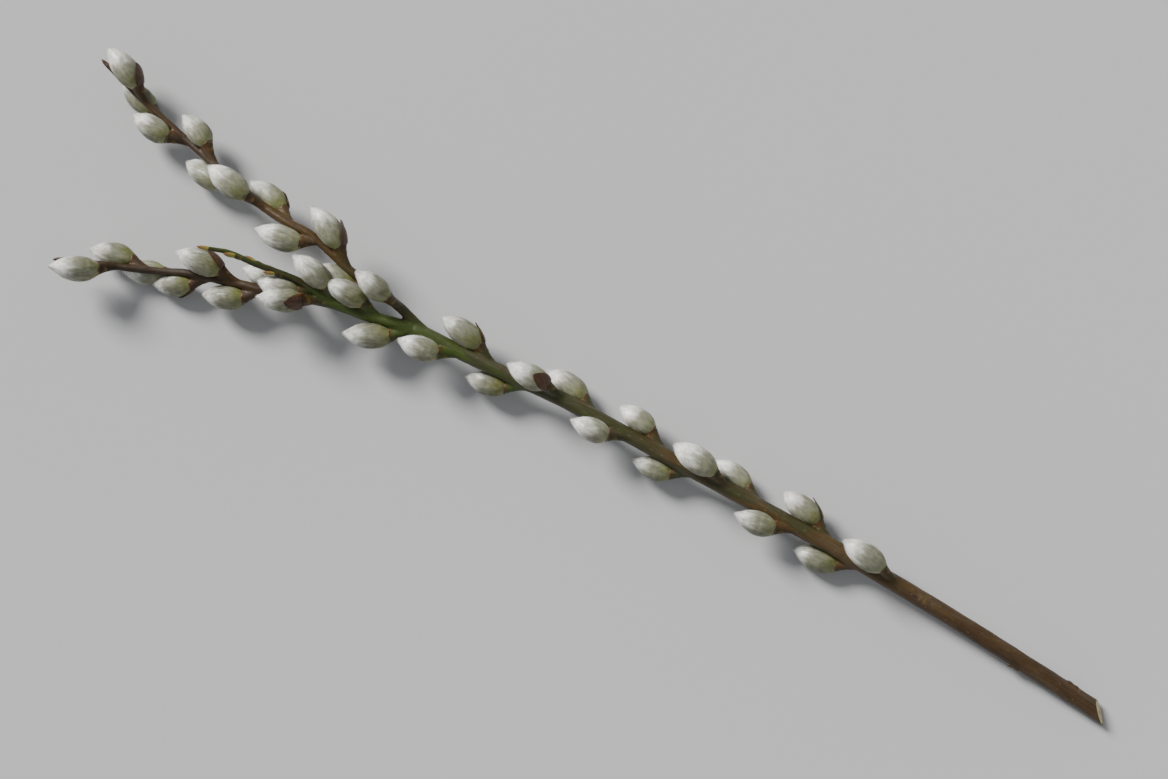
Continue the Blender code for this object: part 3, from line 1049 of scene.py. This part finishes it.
def hood(catkin):
    """A bud scale that still clings to the outer side of a catkin's base."""
    rows, columns = 12, 11
    up, across = np.meshgrid(np.linspace(0, 1, rows), np.linspace(-1, 1, columns), indexing="ij")
    turn = across * (1.12 * (1 - up) ** 0.85 + 0.03) + 0.3 * math.sin(catkin.phase)
    height = catkin.scale_reach * up
    points, out = silk_surface(catkin, height.ravel(), turn.ravel())
    curl = (0.26 + 0.7 * up**4 + 0.15 * np.abs(across) ** 4).ravel()[:, None]
    inner = points + out * curl
    outer = inner + out * 0.24
    return np.concatenate([outer, inner]), slab(rows, columns)


def build_scales(settings):
    parts = []
    for catkin in ALL_CATKINS:
        shapes = [collar(catkin)] + ([hood(catkin)] if catkin.has_scale else [])
        for local, faces in shapes:
            facts = {"local": local + catkin.number * SCALE_SHIFT}
            parts.append((pressed(catkin.placed(local)), faces, facts))
    dress(collect("bud_scales", parts), scale_material(settings))


def bud(centre, direction, away, radius, length, at_end, ripe, number):
    """A pointed bud: a flattened loft that leans out of the shoot and curves back to it."""
    axis = unit(direction + (0.15 if at_end else 0.42) * away)
    out = unit(away - axis * float(away @ axis))
    side = np.cross(axis, out)
    base = centre + away * (0.0 if at_end else radius - 0.75)
    t = np.linspace(0, 1, BUD_RINGS + 1)
    wide = (max(radius, 0.95) if at_end else 1.18) * (1 - t**2.2) ** 0.85 * (0.82 + 0.5 * t)
    path = base + axis * (t * (length + 0.6))[:, None] - out * (0.55 * t**2)[:, None]
    turn = turns(BUD_SIDES)
    ring = np.outer(np.cos(turn) * 0.82, out) + np.outer(np.sin(turn), side)
    points = (path[:-1, None] + wide[:-1, None, None] * ring).reshape(-1, 3)
    world = np.concatenate([points, [base - axis * 0.2, path[-1]]])
    height = np.concatenate([np.repeat(t[:-1], BUD_SIDES), [0.0, 1.0]])
    local = (world - base) @ np.array([out, side, axis]).T + number * BUD_SHIFT
    facts = {"height": height, "local": local, "ripe": np.full(len(world), float(ripe))}
    return pressed(world), ball(BUD_RINGS, BUD_SIDES), facts


def build_buds(settings):
    parts = [bud(*place, number) for number, place in enumerate(place_buds())]
    dress(collect("leaf_buds", parts), bud_material(settings))


# Floor, light and camera.


def sun(name, strength, spread, place):
    """A far, soft light that shines from a place to the middle of the stage."""
    data = bpy.data.lights.new(name, "SUN")
    data.energy, data.angle, data.color = strength, spread, (1.0, 0.985, 0.96)
    obj = bpy.data.objects.new(name, data)
    obj.location = place
    obj.rotation_euler = (-Vector(place)).to_track_quat("-Z", "Y").to_euler()
    bpy.context.scene.collection.objects.link(obj)


def light_tent(settings):
    """A pale surround that meets the floor's own brightness at the horizon."""
    world = bpy.data.worlds.new("studio")
    world.use_nodes = True
    tree = world.node_tree
    way = add(tree, "ShaderNodeTexCoord").outputs["Generated"]
    height = add(tree, "ShaderNodeSeparateXYZ", {0: way}).outputs[2]
    top = tuple(settings.ambient * c for c in (0.93, 0.96, 1.0))
    rim = (settings.horizon,) * 3
    colour = mixed(tree, band(tree, height, 0.05, 0.40), (*rim, 1.0), (*top, 1.0))
    tree.links.new(colour, tree.nodes["Background"].inputs["Color"])
    bpy.context.scene.world = world


def build_stage(settings):
    points = np.array([[-1, -1, 0], [1, -1, 0], [1, 1, 0], [-1, 1, 0]]) * 4000.0
    floor = make_object("floor", points, [np.array([[0, 1, 2, 3]])])
    material, tree, shader = new_material("floor")
    place = add(tree, "ShaderNodeTexCoord").outputs["Object"]
    cloud = add(tree, "ShaderNodeTexNoise", {"Vector": place, "Scale": 3.0, "Detail": 2.0})
    low = tuple(0.96 * c for c in settings.floor_colour)
    colour = mixed(tree, cloud.outputs[0], (*low, 1.0), (*settings.floor_colour, 1.0))
    tree.links.new(colour, shader.inputs["Base Color"])
    shader.inputs["Roughness"].default_value = 0.8
    shader.inputs["Specular IOR Level"].default_value = 0.2
    floor.data.materials.append(material)

    light_tent(settings)
    sun("key", settings.key_strength, settings.key_spread, (-0.72, 0.22, 0.56))

    data = bpy.data.cameras.new("camera")
    data.lens, data.sensor_width = settings.lens, 36.0
    data.clip_start, data.clip_end = 0.01, 50.0
    camera = bpy.data.objects.new("camera", data)
    turn = Matrix.Rotation(settings.camera_turn, 4, "Z")
    tilt = Matrix.Rotation(settings.camera_tilt, 4, "X")
    middle = Matrix.Translation((settings.middle[0], settings.middle[1], 0.01))
    back = Matrix.Translation((0, 0, settings.camera_distance))
    camera.matrix_world = middle @ turn @ tilt @ back
    bpy.context.scene.collection.objects.link(camera)
    bpy.context.scene.camera = camera


# The add-on.


def colour_property(name, description, default):
    return FloatVectorProperty(
        name=name, description=description, default=default, subtype="COLOR", min=0.0, max=1.0
    )


def angle_property(name, description, degrees):
    return FloatProperty(
        name=name, description=description, default=math.radians(degrees), subtype="ANGLE"
    )


def length_property(name, description, default, lowest, highest):
    return FloatProperty(
        name=name, description=description, default=default, min=lowest, max=highest,
        unit="LENGTH", precision=5,
    )


class WillowBarkSettings(bpy.types.PropertyGroup):
    grain_size: length_property("Grain size", "Size of the bark's faces", 0.00044, 0.0003, 0.002)
    green: colour_property("Green", "Young bark by the forks", (0.043, 0.065, 0.009))
    olive: colour_property("Olive", "Bark of the lower stem", (0.037, 0.036, 0.011))
    orange: colour_property("Orange", "Bark of the lower right shoot", (0.068, 0.039, 0.011))
    red_brown: colour_property("Red brown", "Bark of the upper shoots", (0.050, 0.027, 0.0095))
    dark: colour_property("Dark", "The darkest bark", (0.030, 0.017, 0.0065))


class WillowCatkinSettings(bpy.types.PropertyGroup):
    hairs: IntProperty(
        name="Hairs", description="Hairs on each catkin", default=1700, min=0, max=1750
    )
    hair_length: length_property("Hair length", "Length of a hair", 0.0050, 0.001, 0.008)
    hair_thickness: length_property(
        "Hair thickness", "Thickness of a hair at its root", 0.00007, 0.00003, 0.0003
    )
    base_colour: colour_property("Base", "Silk at the base of a catkin", (0.172, 0.180, 0.054))
    flank_colour: colour_property("Flank", "Silk on a catkin's flanks", (0.262, 0.264, 0.182))
    # The tip colour is partly the silk's own white and partly a painted highlight.
    tip_colour: colour_property("Tip", "Silk at the tip of a catkin", (0.94, 0.93, 0.87))


class WillowBudSettings(bpy.types.PropertyGroup):
    scale_dark: colour_property("Scale, dark", "Dark parts of a bud scale", (0.026, 0.011, 0.006))
    scale_light: colour_property("Scale, light", "Light parts of a scale", (0.110, 0.044, 0.014))
    bud_base: colour_property("Bud base", "Base of a leaf bud", (0.27, 0.245, 0.042))
    bud_middle: colour_property("Bud middle", "Middle of a leaf bud", (0.22, 0.120, 0.028))
    bud_tip: colour_property("Bud tip", "Tip of a leaf bud", (0.08, 0.035, 0.013))


class WillowStageSettings(bpy.types.PropertyGroup):
    floor_colour: colour_property("Floor", "Colour of the surface", (0.52, 0.52, 0.525))
    key_strength: FloatProperty(
        name="Key light", description="Strength of the main light", default=5.3, min=0.0
    )
    key_spread: angle_property("Key spread", "Width of the main light, as seen", 20.0)
    ambient: FloatProperty(
        name="Ambient", description="Brightness overhead", default=0.36, min=0.0
    )
    horizon: FloatProperty(
        name="Horizon", description="Brightness at the horizon", default=0.71, min=0.0
    )
    lens: FloatProperty(
        name="Lens", description="Focal length in millimetres", default=85.0, min=20.0, max=200.0
    )
    camera_distance: length_property("Camera distance", "Camera to branch", 1.07, 0.2, 5.0)
    camera_turn: angle_property("Camera turn", "Turn about the line of sight", 28.0)
    camera_tilt: angle_property("Camera tilt", "Tilt away from straight down", 6.0)
    middle: FloatVectorProperty(
        name="Middle", description="The point that the camera looks at", size=2,
        default=(-0.005, 0.0124), subtype="TRANSLATION", unit="LENGTH",
    )


class WILLOW_OT_bark(bpy.types.Operator):
    """Grow the stem, shoots and shoulders as one skin of bark, with the foot cut"""

    bl_idname = "willow.bark"
    bl_label = "Grow Bark"

    def execute(self, context):
        build_bark(context.scene.willow_bark)
        return {"FINISHED"}


class WILLOW_OT_bodies(bpy.types.Operator):
    """Set a rounded body on every shoulder"""

    bl_idname = "willow.bodies"
    bl_label = "Set Catkins"

    def execute(self, context):
        build_bodies(context.scene.willow_catkins)
        return {"FINISHED"}


class WILLOW_OT_fur(bpy.types.Operator):
    """Cover the catkins of every shoot with silky fur"""

    bl_idname = "willow.fur"
    bl_label = "Grow Fur"

    def execute(self, context):
        build_fur(context.scene.willow_catkins)
        return {"FINISHED"}


class WILLOW_OT_scales(bpy.types.Operator):
    """Add the collars and the bud scales that still cling"""

    bl_idname = "willow.scales"
    bl_label = "Add Bud Scales"

    def execute(self, context):
        build_scales(context.scene.willow_buds)
        return {"FINISHED"}


class WILLOW_OT_buds(bpy.types.Operator):
    """Add the leaf buds and the buds at the shoots' ends"""

    bl_idname = "willow.buds"
    bl_label = "Add Leaf Buds"

    def execute(self, context):
        build_buds(context.scene.willow_buds)
        return {"FINISHED"}


class WILLOW_OT_stage(bpy.types.Operator):
    """Lay the surface and set the lights and the camera"""

    bl_idname = "willow.stage"
    bl_label = "Set Stage"

    def execute(self, context):
        build_stage(context.scene.willow_stage)
        return {"FINISHED"}


class WILLOW_PT_panel(bpy.types.Panel):
    """The sidebar tab with every operator and setting"""

    bl_idname = "WILLOW_PT_panel"
    bl_label = "Pussy Willow Branch"
    bl_space_type = "VIEW_3D"
    bl_region_type = "UI"
    bl_category = "Willow"

    def draw(self, context):
        for label, group, _, operators in PANEL_ROWS:
            box = self.layout.box()
            box.label(text=label)
            settings = getattr(context.scene, group)
            for name in settings.__annotations__:
                box.prop(settings, name)
            for operator in operators:
                box.operator(operator.bl_idname)


# Each box of the panel: its title, where the scene keeps its settings, their class and the
# operators that read them.
PANEL_ROWS = (
    ("Bark", "willow_bark", WillowBarkSettings, (WILLOW_OT_bark,)),
    ("Catkins", "willow_catkins", WillowCatkinSettings, (WILLOW_OT_bodies, WILLOW_OT_fur)),
    ("Buds", "willow_buds", WillowBudSettings, (WILLOW_OT_scales, WILLOW_OT_buds)),
    ("Stage", "willow_stage", WillowStageSettings, (WILLOW_OT_stage,)),
)
CLASSES = (
    *(row[2] for row in PANEL_ROWS), *(kind for row in PANEL_ROWS for kind in row[3]),
    WILLOW_PT_panel,
)


def register():
    for cls in CLASSES:
        bpy.utils.register_class(cls)
    for _, name, settings, _ in PANEL_ROWS:
        setattr(bpy.types.Scene, name, PointerProperty(type=settings))


def unregister():
    for _, name, _, _ in PANEL_ROWS:
        delattr(bpy.types.Scene, name)
    for cls in reversed(CLASSES):
        bpy.utils.unregister_class(cls)


def main():
    register()
    bpy.ops.willow.bark()
    bpy.ops.willow.bodies()
    bpy.ops.willow.fur()
    bpy.ops.willow.scales()
    bpy.ops.willow.buds()
    bpy.ops.willow.stage()


if __name__ == "__main__":
    main()
